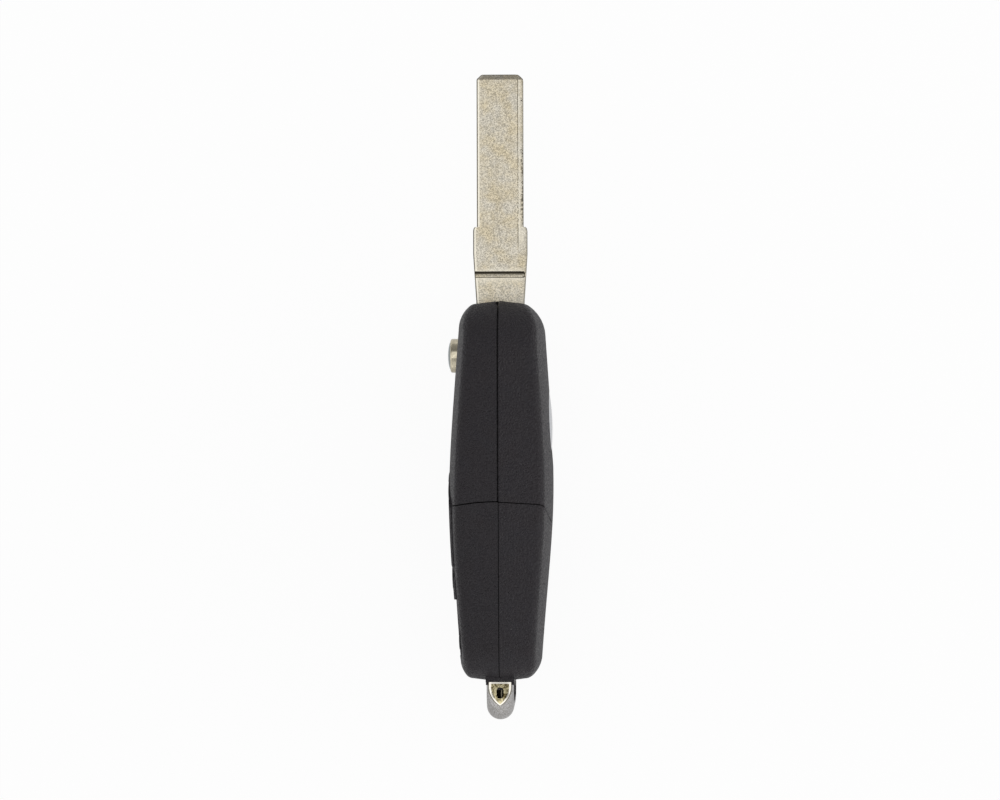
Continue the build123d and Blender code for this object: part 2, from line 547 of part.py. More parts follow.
BUTTON_SEAT = FRONT_INNER - MEMBRANE_GAP
KEYS = {"lock_button": LOCK_KEY, "unlock_button": UNLOCK_KEY, "boot_button": BOOT_KEY}
panel = panel_solid()
remote_front = (FRONT_HALF & lower * FRONT_REGION) - SLOT - EDGE_CUT
remote_front -= shadow_line(SHADOW_GAP_REMOTE) + KEY_ROOM
remote_front -= extrude(plan(panel_plan, -FRONT_SKIN), amount=FRONT_SKIN - OUT)
for name, key in KEYS.items():
    share, height, length, width = key
    y = key_y(key)
    hole = extrude(plan(key_plan(key, BUTTON_GAP), -OUT),
                   amount=OUT - FRONT_INNER + BUTTON_TRAVEL + 2 * MEMBRANE_GAP)
    panel = panel - hole - vee(key)
    remote_front -= hole
    cap_top = crowned(-1, [
        (y + length, height - BUTTON_CROWN), (y, height), (y - length, height - BUTTON_CROWN)])
    cap = extrude(plan(key_plan(key), -BUTTON_SEAT), amount=BUTTON_SEAT - OUT) & cap_top
    lip = Pos(y, MID_Z) * Rectangle(length - MEMBRANE_GAP, width + 2 * BUTTON_LIP)
    lip &= key_room(BUTTON_GAP)
    flange = extrude(plan(lip, -BUTTON_SEAT), amount=BUTTON_FLANGE)
    keep(name, cap + flange)
keep("keypad_panel", panel)

# Inside the remote: membrane, board, switches, parts, cell and contacts
membrane_x = BUTTON_FLANGE - BUTTON_SEAT + BUTTON_TRAVEL + MEMBRANE_GAP
keep("keypad_membrane", extrude(plan(key_room(BOARD_GAP), membrane_x), amount=MEMBRANE_THICK))
keep("circuit_board", extrude(plan(key_room(BOARD_GAP), -BOARD_FACE), amount=BOARD_THICK))
BOARD_BACK = BOARD_THICK - BOARD_FACE
for name, key in KEYS.items():
    y = key_y(key)
    switch = block(-BOARD_FACE - SWITCH_THICK, -BOARD_FACE, y - SWITCH_LENGTH / 2,
                   y + SWITCH_LENGTH / 2, MID_Z - SWITCH_SIDE / 2, MID_Z + SWITCH_SIDE / 2)
    switch += rod(SWITCH_CAP_R, -BOARD_FACE - SWITCH_THICK - SWITCH_CAP, -BOARD_FACE, y, MID_Z)
    keep(name.replace("button", "switch"), switch)

CELL_Y = (CAVITY_TOP + FOOT_INNER) / 2
CELL_Z = ROOM_FLOOR + CELL_R + CELL_SIDE
cell = rod(CELL_R - CELL_STEP_R, CELL_X, CELL_X + CELL_STEP, CELL_Y, CELL_Z)
cell += rod(CELL_R, CELL_X + CELL_STEP, CELL_X + CELL_THICK, CELL_Y, CELL_Z)
keep("coin_cell", cell)


def on_board(length, width, height, place, across):
    y, z = CELL_Y + place * CELL_R, MID_Z + across * CELL_R
    return block(BOARD_BACK, BOARD_BACK + height, y - length / 2, y + length / 2,
                 z - width / 2, z + width / 2)


keep("remote_chip", on_board(*REMOTE_CHIP))
keep("resonator", on_board(*RESONATOR))
length, width, height, *place = ANTENNA
core = on_board(length - 2 * ANTENNA_BAR, width - 2 * ANTENNA_BAR, 2 * height, *place)
keep("antenna_coil", on_board(*ANTENNA) - core)


def clip(points, y):
    """A spring contact bent from strip: points are (X, Z) along its board side."""
    line = Polyline(*[(x, z) for x, z in points])
    strip = trace(line, CLIP_THICK)
    return extrude(Plane.XZ.offset(-y - CLIP_WIDTH / 2) * strip, amount=CLIP_WIDTH)


t = CLIP_THICK / 2
foot_z, bend_z, touch_z, end_z = [CELL_Z + share * CELL_R for share in CLIP_ENDS]
keep("negative_contact", clip([
    (BOARD_BACK + t, foot_z), (BOARD_BACK + t, bend_z), (CELL_X - t, touch_z),
    (CELL_X - t, end_z)], CELL_Y - CLIP_SIDE))
far_z = CELL_Z + CELL_R + CLIP_GAP
keep("positive_contact", clip([
    (BOARD_BACK + t, far_z + CLIP_FOOT), (BOARD_BACK + t, far_z + t),
    (CELL_X + CELL_THICK + t, far_z + t), (CELL_X + CELL_THICK + t, end_z)], CELL_Y))

# Loop: cast half-round bar with a flat and a cross hole on each shoulder
loop = loop_bar()
crest = LOOP_HALF + LOOP_DEPTH / 2
hole_y = FOOT_Y - LOOP_HOLE_DROP
for side in (-1, 1):
    flat_z = LOOP_Z + side * (crest - LOOP_FLAT)
    inside_z = LOOP_Z + side * (crest - LOOP_DEPTH)
    loop -= block(-OUT, OUT, -FAR, COLLAR_Y, *sorted((flat_z, flat_z + side * FAR)))
    dish_z = flat_z + side * (LOOP_DISH_R - LOOP_DISH)
    loop -= Pos(0, hole_y, dish_z) * Sphere(LOOP_DISH_R)
    slit = SlotOverall(LOOP_HOLE_LENGTH, 2 * LOOP_HOLE_R, rotation=90)
    loop -= extrude(Pos(0, hole_y, inside_z) * slit, amount=side * FAR)
pins = [rod(LOOP_PIN_R, -LOOP_PIN_LENGTH / 2, LOOP_PIN_LENGTH / 2, FOOT_Y + LOOP_PIN_RISE,
            LOOP_Z + side * LOOP_HALF) for side in (-1, 1)]
keep("keyring_loop", loop - pins[0] - pins[1])
keep("loop_pins", Compound(children=pins))


def collar(side):
    """The black neck that a leg of the loop leaves the casing through."""
    reach_z, reach_x = LOOP_DEPTH / 2 + COLLAR_WALL, LOOP_NECK / 2 + COLLAR_WALL
    outer, inner = LOOP_HALF + reach_z, LOOP_HALF - reach_z
    z = sorted((LOOP_Z + side * inner, LOOP_Z + side * outer))
    low = sorted((LOOP_Z + side * inner, LOOP_Z + side * (outer - COLLAR_STEP)))
    return block(-reach_x, reach_x, COLLAR_Y, LEG_END, *z) + block(
        -reach_x, reach_x, NECK_Y, LEG_END, *low)


LOOP_ROOM = loop_bar(SEAT) + pins[0] + pins[1]
COLLARS = collar(1) + collar(-1)
SCOOP = rod(SCOOP_R, -OUT, OUT, FOOT_Y + SCOOP_DEPTH - SCOOP_R, LOOP_Z)
front_side = block(-OUT, 0, -FAR, FAR, -OUT, FAR)
back_side = block(0, OUT, -FAR, FAR, -OUT, FAR)
remote_front = remote_front - SCOOP + (COLLARS & front_side) - LOOP_ROOM
keep("remote_front_shell", remote_front - EDGE_CUT)
remote_back = (BACK_HALF & lower * BACK_REGION) - SLOT - EDGE_CUT - BACK_ROOM
remote_back = remote_back - SCOOP + (COLLARS & back_side) - LOOP_ROOM
keep("remote_back_shell", remote_back)

for name, solid in PARTS.items():
    pieces = solid.solids()
    export_step(pieces[0] if len(pieces) == 1 else Compound(children=pieces), f"parts/{name}.step")
whole = Compound(children=[Pos(0, 0, 0) * s for s in PARTS.values()])
print(len(PARTS), "nodes", whole.bounding_box())
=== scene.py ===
import json
import math
import random

import bmesh
import bpy
from mathutils import Euler, Matrix, Vector
from mathutils.bvhtree import BVHTree

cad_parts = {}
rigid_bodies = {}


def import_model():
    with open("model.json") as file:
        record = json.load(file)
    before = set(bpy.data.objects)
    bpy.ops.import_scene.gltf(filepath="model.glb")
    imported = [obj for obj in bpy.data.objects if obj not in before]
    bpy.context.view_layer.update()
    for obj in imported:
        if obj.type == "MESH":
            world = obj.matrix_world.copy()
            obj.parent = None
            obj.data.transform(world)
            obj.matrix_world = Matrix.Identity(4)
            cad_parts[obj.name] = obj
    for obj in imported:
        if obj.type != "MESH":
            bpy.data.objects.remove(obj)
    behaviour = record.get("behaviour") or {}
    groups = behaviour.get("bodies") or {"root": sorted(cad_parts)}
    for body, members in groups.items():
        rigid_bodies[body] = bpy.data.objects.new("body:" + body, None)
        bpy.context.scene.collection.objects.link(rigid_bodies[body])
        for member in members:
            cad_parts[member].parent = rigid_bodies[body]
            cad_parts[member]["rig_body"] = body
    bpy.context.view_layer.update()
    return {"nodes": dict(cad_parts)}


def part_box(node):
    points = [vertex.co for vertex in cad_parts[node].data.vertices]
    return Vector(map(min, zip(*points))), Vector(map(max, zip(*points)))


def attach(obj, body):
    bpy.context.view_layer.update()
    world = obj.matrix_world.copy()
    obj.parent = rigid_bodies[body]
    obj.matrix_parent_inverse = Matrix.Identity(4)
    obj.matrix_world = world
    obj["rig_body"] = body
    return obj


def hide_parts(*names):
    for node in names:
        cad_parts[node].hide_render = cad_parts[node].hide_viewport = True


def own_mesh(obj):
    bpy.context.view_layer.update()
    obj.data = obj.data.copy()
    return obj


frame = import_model()


# Casing: four mouldings, a front and a back half for the head and for the remote.
# Each is injection moulded in black ABS in a spark-eroded tool, so it has a fine, even,
# matt grain with a soft sheen where a rounded edge turns away.
def linear(code):
    """A colour written as sRGB hex, as the linear colour that a shader takes."""
    values = [int(code[i:i + 2], 16) / 255 for i in (1, 3, 5)]
    return [v / 12.92 if v <= 0.04045 else ((v + 0.055) / 1.055) ** 2.4 for v in values] + [1.0]


def finish_named(name, **settings):
    """A new material whose surface shader has these inputs."""
    material = bpy.data.materials.new(name)
    material.use_nodes = True
    for key, value in settings.items():
        shader_of(material).inputs[key.replace("_", " ")].default_value = value
    return material


def shader_of(material):
    return material.node_tree.nodes["Principled BSDF"]


def add(material, kind, links=(), **settings):
    """Adds one node with its settings, and links it from (input, socket) pairs."""
    node = material.node_tree.nodes.new("ShaderNode" + kind)
    for key, value in settings.items():
        if hasattr(node, key):
            setattr(node, key, value)
        else:
            node.inputs[key.replace("_", " ")].default_value = value
    for key, socket in links:
        material.node_tree.links.new(socket, node.inputs[key])
    return node


def show(material, **sockets):
    """Links sockets into the material's surface shader."""
    for key, socket in sockets.items():
        material.node_tree.links.new(socket, shader_of(material).inputs[key.replace("_", " ")])


def in_mm(material):
    """The piece's own coordinates, in millimetres."""
    place = add(material, "TexCoord")
    return add(material, "Mapping", [("Vector", place.outputs["Object"])],
               Scale=(1000, 1000, 1000)).outputs["Vector"]


def smoothed(work, crease):
    """Shades a mesh smooth, but for the edges that turn by more than crease degrees."""
    for line in work.edges:
        line.smooth = len(line.link_faces) == 2 and line.calc_face_angle(0) < math.radians(crease)
    for face in work.faces:
        face.smooth = True


def in_place_of(name, piece, material):
    """Stands a finished piece in for a CAD piece, on the same body."""
    bpy.context.scene.collection.objects.link(piece)
    piece.data.materials.append(material)
    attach(piece, frame["nodes"][name]["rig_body"])
    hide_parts(name)


def finished_copy(name, material, crease=30, edge=0):
    """A CAD piece with its triangles joined, its curves shaded smooth and its edges eased."""
    mesh = bpy.data.meshes.new(name + "_finished")
    work = bmesh.new()
    work.from_mesh(frame["nodes"][name].data)
    bmesh.ops.remove_doubles(work, verts=work.verts, dist=1e-6)
    smoothed(work, crease)
    for face in work.faces:
        face.material_index = 0
    work.to_mesh(mesh)
    work.free()
    piece = bpy.data.objects.new(name + "_finished", mesh)
    in_place_of(name, piece, material)
    if edge:
        eased = piece.modifiers.new("eased edges", "BEVEL")
        eased.width, eased.segments, eased.limit_method = edge / 1000, 2, "ANGLE"
        eased.angle_limit, eased.use_clamp_overlap = math.radians(30), False
    return piece


abs_black = finish_named("spark_eroded_black_abs", IOR=1.46, Specular_IOR_Level=0.42)
spot = in_mm(abs_black)
# the spark-eroded craters are about 0.05 mm across; they are drawn at 0.35 mm so that they show
grain = add(abs_black, "TexNoise", [("Vector", spot)], Scale=2.8, Detail=1.5, Roughness=0.7)
clouds = add(abs_black, "TexNoise", [("Vector", spot)], Scale=0.3, Detail=3.0, Roughness=0.6)
relief = add(abs_black, "Bump", [("Height", grain.outputs["Fac"])], Strength=1.0, Distance=0.0004)
sheen_spread = add(abs_black, "MapRange", [("Value", grain.outputs["Fac"])],
                   From_Min=0.38, From_Max=0.62, To_Min=0.42, To_Max=0.68)
tone = add(abs_black, "MixRGB", [("Fac", clouds.outputs["Fac"])],
           Color1=linear("#211b1e"), Color2=linear("#1f1d23"))
# specks of lint, 0.14 mm across, in some of the pattern's 2.8 mm cells
LINT_RADIUS, CLEAN_CELLS = 0.025, 0.35    # in cells, and as a share of them
lint = add(abs_black, "TexVoronoi", [("Vector", spot)], Scale=0.36)
near = add(abs_black, "Math", [(0, lint.outputs["Distance"])], operation="LESS_THAN")
near.inputs[1].default_value = LINT_RADIUS
chance = add(abs_black, "SeparateColor", [("Color", lint.outputs["Color"])])
few = add(abs_black, "Math", [(0, chance.outputs["Red"])], operation="GREATER_THAN")
few.inputs[1].default_value = CLEAN_CELLS
speck = add(abs_black, "Math", [(0, near.outputs["Value"]), (1, few.outputs["Value"])],
            operation="MULTIPLY")
dusty = add(abs_black, "MixRGB", [("Fac", speck.outputs["Value"]),
                                  ("Color1", tone.outputs["Color"])], Color2=linear("#7d7b79"))
show(abs_black, Base_Color=dusty.outputs["Color"], Roughness=sheen_spread.outputs["Result"],
     Normal=relief.outputs["Normal"])
for shell in ("head_front_shell", "head_back_shell", "remote_front_shell", "remote_back_shell"):
    finished_copy(shell, abs_black, crease=50)

# Keypad: a panel pressed into the remote's front, with three push buttons through it.
# The panel is the casing's own black ABS. The buttons are moulded in a soft black TPE,
# duller and a little smoother than the casing.
soft_black = finish_named("soft_moulded_black_tpe", IOR=1.5, Specular_IOR_Level=0.28)
spot = in_mm(soft_black)
skin = add(soft_black, "TexNoise", [("Vector", spot)], Scale=9.0, Detail=2.0, Roughness=0.6)
dull = add(soft_black, "MapRange", [("Value", skin.outputs["Fac"])],
           From_Min=0.3, From_Max=0.7, To_Min=0.6, To_Max=0.74)
relief = add(soft_black, "Bump", [("Height", skin.outputs["Fac"])], Strength=0.3, Distance=0.00002)
tone = add(soft_black, "MixRGB", [("Fac", skin.outputs["Fac"])],
           Color1=linear("#1e1e1f"), Color2=linear("#242426"))
show(soft_black, Base_Color=tone.outputs["Color"], Roughness=dull.outputs["Result"],
     Normal=relief.outputs["Normal"])
# the panel's long edges are eased: a cut is made below each, and the edge itself is drawn in
PANEL_EASE, PANEL_DRAWN_IN, PANEL_CREASE = 0.0006, 0.00035, 9
PANEL_BACK, ON_EDGE = 0.0004, 1e-5        # the panel's back stays, and what counts as its edge
panel = finished_copy("keypad_panel", abs_black, crease=PANEL_CREASE)
low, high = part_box("keypad_panel")
work = bmesh.new()
work.from_mesh(panel.data)
for z in (low.z + PANEL_EASE, high.z - PANEL_EASE):
    bmesh.ops.bisect_plane(work, geom=work.verts[:] + work.edges[:] + work.faces[:],
                           plane_co=(0, 0, z), plane_no=(0, 0, 1))
for point in work.verts:
    from_edge = min(point.co.z - low.z, high.z - point.co.z)
    if from_edge < ON_EDGE and point.co.x < high.x - PANEL_BACK:
        point.co.x += PANEL_DRAWN_IN
smoothed(work, PANEL_CREASE)
work.to_mesh(panel.data)
work.free()
for button in ("lock_button", "unlock_button", "boot_button"):
    finished_copy(button, soft_black, edge=0.35)
# Each button is pad printed with a plain sign in grey ink: a shut padlock, an open one, and a car
# with its boot up.
ink = finish_named("pad_printed_grey_ink", IOR=1.5)
spot = in_mm(ink)
blotches = add(ink, "TexNoise", [("Vector", spot)], Scale=6.0, Detail=3.0)
tone = add(ink, "MixRGB", [("Fac", blotches.outputs["Fac"])],
           Color1=linear("#9d9fa1"), Color2=linear("#c2c4c5"))
spread = add(ink, "MapRange", [("Value", blotches.outputs["Fac"])],
             From_Min=0.3, From_Max=0.7, To_Min=0.4, To_Max=0.6)
show(ink, Base_Color=tone.outputs["Color"], Roughness=spread.outputs["Result"])


def skinned(work, rings):
    """Makes the faces between each ring of points and the next."""
    for ring, after in zip(rings, rings[1:]):
        for i in range(len(ring)):
            work.faces.new((ring[i - 1], ring[i], after[i], after[i - 1]))


def printed(button, lines, wide=0.2, film=0.03, steps=6):
    """Ink lines on a button's crown: each is (points across and along in mm, closed)."""
    crown = BVHTree.FromPolygons([v.co for v in frame["nodes"][button].data.vertices],
                                 [f.vertices for f in frame["nodes"][button].data.polygons])
    low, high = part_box(button)
    in_front = low[0] - 0.01              # where the rays that meet the crown start
    work = bmesh.new()
    for points, closed in lines:
        ends = list(zip(points, points[1:] + points[:1] if closed else points[1:]))
        walk = [Vector(a).lerp(Vector(b), i / steps) for a, b in ends for i in range(steps)]
        walk += [] if closed else [Vector(points[-1])]
        rows = []
        for i, at in enumerate(walk):
            before = walk[i - 1] if closed or i else at
            after = walk[(i + 1) % len(walk)] if closed or i + 1 < len(walk) else at
            side = (after - before).normalized().orthogonal() * wide / 2
            row = []
            for shift, lift in ((-1, film), (1, film), (1, -film), (-1, -film)):
                across, along = (at + side * shift) / 1000
                y, z = (low[1] + high[1]) / 2 + along, (low[2] + high[2]) / 2 + across
                skin = crown.ray_cast(Vector((in_front, y, z)), Vector((1, 0, 0)))[0].x
                row.append(work.verts.new((skin - lift / 1000, y, z)))
            rows.append(row)
        skinned(work, rows + rows[:1] if closed else rows)
        if not closed:
            work.faces.new(rows[0])
            work.faces.new(rows[-1])
    bmesh.ops.recalc_face_normals(work, faces=work.faces)
    mesh = bpy.data.meshes.new(button + "_sign")
    work.to_mesh(mesh)
    work.free()
    mesh.materials.append(ink)
    sign = bpy.data.objects.new(button + "_sign", mesh)
    bpy.context.scene.collection.objects.link(sign)
    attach(sign, frame["nodes"][button]["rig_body"])


def bow(x, y, radius, start, end, steps=12):
    """Points on an arc, in mm and degrees."""
    turns = [math.radians(start + (end - start) * i / steps) for i in range(steps + 1)]
    return [(x + radius * math.cos(turn), y + radius * math.sin(turn)) for turn in turns]


LOCK_CASE = [(-0.85, -1.0), (0.85, -1.0), (0.85, 0.2), (-0.85, 0.2)]
SHUT_BOW = [(0.5, 0.2), *bow(0, 0.5, 0.5, 0, 180), (-0.5, 0.2)]
OPEN_BOW = [(0.5, 0.2), *bow(0, 0.8, 0.5, 0, 180), (-0.5, 0.7)]
CAR_SIDE = [(-1.5, -0.5), (-1.5, 0.0), (-0.95, 0.1), (-0.55, 0.5), (0.45, 0.5), (0.8, 0.1),
            (1.5, 0.0), (1.5, -0.5)]
BOOT_LID = [(0.7, 0.25), (1.4, 0.8)]
printed("lock_button", [(LOCK_CASE, True), (SHUT_BOW, False)])
printed("unlock_button", [(LOCK_CASE, True), (OPEN_BOW, False)])
printed("boot_button", [(CAR_SIDE, True), (bow(-0.85, -0.55, 0.25, 0, 330), True),
                        (bow(0.85, -0.55, 0.25, 0, 330), True), (BOOT_LID, False)])

# Blade: stamped from nickel silver and left bare. The faces are rolled, so they have a fine
# worm-like grain, with straw-coloured patches where the alloy has tarnished. The stamping
# leaves a broken edge, and the cutter that made the ledge left burrs along it. Painted shade
# darkens the broken edges, the groove and the ledge's foot, painted highlights lie beside
# them, and some burrs get a painted glint.
BLADE_TIP, BLADE_Z, BLADE_HALF = 58.675, 18.0, 1.5
BLADE_SIDE = [  # place along the blade and half its width there, from the tang to the tip
    (5.675, 2.6), (12.675, 2.6), (12.676, 4.4), (17.175, 4.4), (25.775, 4.95), (30.075, 4.95),
    (30.6, 4.83), (30.774, 4.6), (30.775, 4.25), (57.6, 4.25), (57.85, 4.18), (58.5, 3.55),
    (58.675, 3.3)]
LEDGE_X, LEDGE_DEPTH, LEDGE_END, LEDGE_RUN_OUT = 3.2, 0.25, 25.3, 3.0
TIP_BEVEL, TIP_BEVEL_DEPTH = 0.9, 0.6
GROOVE_Y, GROOVE_HALF, GROOVE_DEPTH, GROOVE_END = 22.075, 0.6, 0.35, 3.95
BREAK = 0.15                              # the edge that the die broke
BURRS, BURR_STRAYS, EDGE_STRAYS = (31, 45), 0.07, 0.02    # the ledge's edge, burred and clean
GLINTING_BURR, CLEAN_BURR = 0.6, 0.8        # from here a burr gets a painted glint, and from here the ledge's line of painted shade is left out
NICK, NICK_DEPTH = (53.7, 54.0), 0.3      # in the ledge's rim
FOLD_DARKENING, FOLD_HALF = 0.55, 0.02        # the dark line where the tip's bevel starts
GRAIN_START, GRAIN_STEP, GRAIN_COUNT = 23.5, 0.2, 171     # the sections that carry the wear, the painted highlights and the painted shade


def half_width(y):
    """Half the blade's width, in mm, at a place along it."""
    for (y0, half0), (y1, half1) in zip(BLADE_SIDE, BLADE_SIDE[1:]):
        if y0 <= y <= y1 and y1 > y0:
            return half0 + (half1 - half0) * (y - y0) / (y1 - y0)
    return BLADE_SIDE[-1][1]


def blade_ring(y, half, chances):
    """One section of the blade, as (x, z, wear and painted highlight, grime and painted shade)
    points, in mm from its middle line.
    """
    burred = BURRS[0] < y < BURRS[1]
    strays = BURR_STRAYS if burred else EDGE_STRAYS
    step_x = min(LEDGE_X + chances.uniform(-1, 1) * strays, half - BREAK - 0.3)
    run_out = min(1.0, max(0.0, (y - LEDGE_END) / LEDGE_RUN_OUT))
    ledge = LEDGE_DEPTH * run_out
    bevel = TIP_BEVEL_DEPTH * max(0.0, (y - BLADE_TIP + TIP_BEVEL) / TIP_BEVEL)
    fold = FOLD_DARKENING * (abs(y - BLADE_TIP + TIP_BEVEL) < FOLD_HALF or y == BLADE_TIP)
    burr = chances.random() if burred else 0.25 * chances.random()
    dot = 0.7 * (chances.random() > 0.72) if burred else 0.0
    nick = NICK_DEPTH if NICK[0] < y < NICK[1] else 0.0
    # a line of painted shade along the ledge's foot
    line = 0.8 * run_out * (burr < CLEAN_BURR) * (y < BLADE_TIP - TIP_BEVEL)
    rim = half - BREAK - nick
    # each point is (across, drop, wear and painted highlight, grime and painted shade): painted
    # shade on the broken edges with a painted highlight just inside, a painted glint on a shining
    # burr, and painted shade at the ledge's foot with a painted highlight on the ledge beside it
    sides = [
        (-half, BREAK + 0.2, 0, 0.1), (-half, BREAK, 0, 0.95), (BREAK - half, 0, 0.3, 0.7),
        (BREAK + 0.1 - half, 0, 1, 0), (BREAK + 0.28 - half, 0, 1, 0),
        (BREAK + 0.4 - half, 0, 0.1, 0), (-0.3 * half, 0, 0, 0),
        (0.3 * half, 0, 0, 0), (step_x - 0.12, 0, 0.1, 0),
        (step_x, 0, 1.0 * (burr > GLINTING_BURR), 0), (step_x + 0.08, ledge, 0, line),
        (step_x + 0.18, ledge, 0.6 * run_out, 0),
        (max(step_x + 0.2, rim - 0.45), ledge, 0.3 * run_out, 0),
        (max(step_x + 0.22, rim - 0.2), ledge, 0.1, dot),
        (rim, ledge, 0.3, 0.45 + 0.45 * (burr > GLINTING_BURR)),
        (half - nick, ledge + BREAK, 0, 0.95), (half - nick, ledge + BREAK + 0.2, 0, 0.1)]
    ring = []
    for x, drop, wear_and_highlight, grime_and_shade in sides:
        inside = GROOVE_HALF - math.hypot(max(0.0, x - GROOVE_END), y - GROOVE_Y)
        cut = min(1.0, max(0.0, inside / 0.1))
        up = (y - GROOVE_Y) / GROOVE_HALF
        # painted shade in the groove, dark under its upper wall and fading across its floor, and a
        # painted highlight along its rims
        shade = 1.0 if up > 0.2 else 0.6 * max(0.0, up + 0.7) / 0.9 if up > -0.8 else 0.8
        rim_highlight = 0.8 * max(0.0, 1 + inside / 0.25) if inside < 0 and drop < BREAK else 0.0
        ring.append((x, BLADE_HALF - max(drop + bevel, GROOVE_DEPTH * cut),
                     max(wear_and_highlight * (1 - cut), rim_highlight), max(grime_and_shade * (1 - rim_highlight), shade * cut, fold)))
    return ring + [(-x, drop + bevel - BLADE_HALF, wear_and_highlight, grime_and_shade) for x, drop, wear_and_highlight, grime_and_shade in sides]


def made_here(name, work, crease, material):
    """Stands a mesh made here, point by point, in for a CAD piece."""
    bmesh.ops.recalc_face_normals(work, faces=work.faces)
    smoothed(work, crease)
    mesh = bpy.data.meshes.new(name + "_finished")
    work.to_mesh(mesh)
    work.free()
    in_place_of(name, bpy.data.objects.new(name + "_finished", mesh), material)


stations = sorted({y for y, half in BLADE_SIDE} | {BLADE_TIP - TIP_BEVEL, 14.0, 20.0}
                  | {GROOVE_Y + shift * 0.1 for shift in range(-7, 8)}
                  | {GRAIN_START + GRAIN_STEP * i for i in range(GRAIN_COUNT)})
chances = random.Random(7)
work = bmesh.new()
# each point carries wear with painted highlight, and grime with painted shade
wear_and_highlight_layer = work.verts.layers.float.new("wear_and_highlight")
grime_and_shade_layer = work.verts.layers.float.new("grime_and_shade")
rings = []
for y in stations:
    ring = []
    for x, z, wear_and_highlight, grime_and_shade in blade_ring(y, half_width(y), chances):
        point = work.verts.new((x / 1000, y / 1000, (BLADE_Z + z) / 1000))
        point[wear_and_highlight_layer], point[grime_and_shade_layer] = wear_and_highlight, grime_and_shade
        ring.append(point)
    rings.append(ring)
skinned(work, rings)
work.faces.new(rings[0])
work.faces.new(rings[-1])
nickel_silver = finish_named("rolled_nickel_silver", Metallic=1.0)
spot = in_mm(nickel_silver)
# the grain's lines are 0.1 mm wide; they are drawn at 0.25 mm so that they show
worms = add(nickel_silver, "TexNoise", [("Vector", spot)], Scale=4.6, Detail=0.6, Roughness=0.5,
            Distortion=0.6)
fine = add(nickel_silver, "TexNoise", [("Vector", spot)], Scale=4.5, Detail=2.0, Roughness=0.6)
patches = add(nickel_silver, "TexNoise", [("Vector", spot)], Scale=0.32, Detail=3.0, Roughness=0.6)
tarnish = add(nickel_silver, "MapRange", [("Value", patches.outputs["Fac"])],
              From_Min=0.38, From_Max=0.66, To_Min=0.0, To_Max=1.0)
warm = add(nickel_silver, "MixRGB", [("Fac", tarnish.outputs["Result"])],
           Color1=linear("#c1bbad"), Color2=linear("#c0b59c"))
light = add(nickel_silver, "MapRange", [("Value", worms.outputs["Fac"])],
            From_Min=0.38, From_Max=0.62, To_Min=0.7, To_Max=1.3)
mottled = add(nickel_silver, "VectorMath", [(0, warm.outputs["Color"])], operation="SCALE")
nickel_silver.node_tree.links.new(light.outputs["Result"], mottled.inputs["Scale"])
# the painted highlights lighten the metal and the painted shade darkens it, with the wear and grime
# that share their weights
highlighted = add(nickel_silver, "Attribute", attribute_name="wear_and_highlight")
bright = add(nickel_silver, "MixRGB", [("Fac", highlighted.outputs["Fac"]),
                                       ("Color1", mottled.outputs["Vector"])],
             Color2=linear("#ece6d6"))
shade_and_grime_weight = add(nickel_silver, "Attribute", attribute_name="grime_and_shade")
colour = add(nickel_silver, "MixRGB", [("Fac", shade_and_grime_weight.outputs["Fac"]),
                                       ("Color1", bright.outputs["Color"])],
             Color2=linear("#332f27"))
spread = add(nickel_silver, "MapRange", [("Value", fine.outputs["Fac"])],
             From_Min=0.3, From_Max=0.7, To_Min=0.3, To_Max=0.42)
worked = add(nickel_silver, "Bump", [("Height", worms.outputs["Fac"])],
             Strength=0.7, Distance=0.00003)
relief = add(nickel_silver, "Bump", [("Height", fine.outputs["Fac"]),
                                     ("Normal", worked.outputs["Normal"])],
             Strength=0.4, Distance=0.00002)
show(nickel_silver, Base_Color=colour.outputs["Color"], Roughness=spread.outputs["Result"],
     Normal=relief.outputs["Normal"])
made_here("key_blade", work, crease=25, material=nickel_silver)

# Hub: the drum that the blade is pinned in, moulded in black acetal, which is slippery and
# slightly glossy. A split steel pin holds the blade's tang in it.
acetal = finish_named("moulded_black_acetal", IOR=1.48, Roughness=0.32)
spot = in_mm(acetal)
flow = add(acetal, "TexNoise", [("Vector", spot)], Scale=0.9, Detail=2.0)
tone = add(acetal, "MixRGB", [("Fac", flow.outputs["Fac"])],
           Color1=linear("#202021"), Color2=linear("#2b2b2c"))
show(acetal, Base_Color=tone.outputs["Color"])
finished_copy("blade_hub", acetal)

# Small steel pieces: drawn or turned, left bright. They are the pins, the post, the spring,
# the screw and the cell's contacts.
bright_steel = finish_named("bright_drawn_steel", Metallic=1.0)
spot = in_mm(bright_steel)
lines = add(bright_steel, "TexNoise", [("Vector", spot)], Scale=5.0, Detail=3.0)
spread = add(bright_steel, "MapRange", [("Value", lines.outputs["Fac"])],
             From_Min=0.3, From_Max=0.7, To_Min=0.2, To_Max=0.36)
tone = add(bright_steel, "MixRGB", [("Fac", lines.outputs["Fac"])],
           Color1=linear("#a9a8a6"), Color2=linear("#c6c5c2"))
show(bright_steel, Base_Color=tone.outputs["Color"], Roughness=spread.outputs["Result"])
for bit in ("blade_roll_pin", "pivot_post", "head_screw", "loop_pins",
            "negative_contact", "positive_contact"):
    finished_copy(bit, bright_steel)
# the coil gets a mesh of its own
coil = finished_copy("flip_spring", bright_steel)
low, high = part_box("flip_spring")
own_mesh(coil)

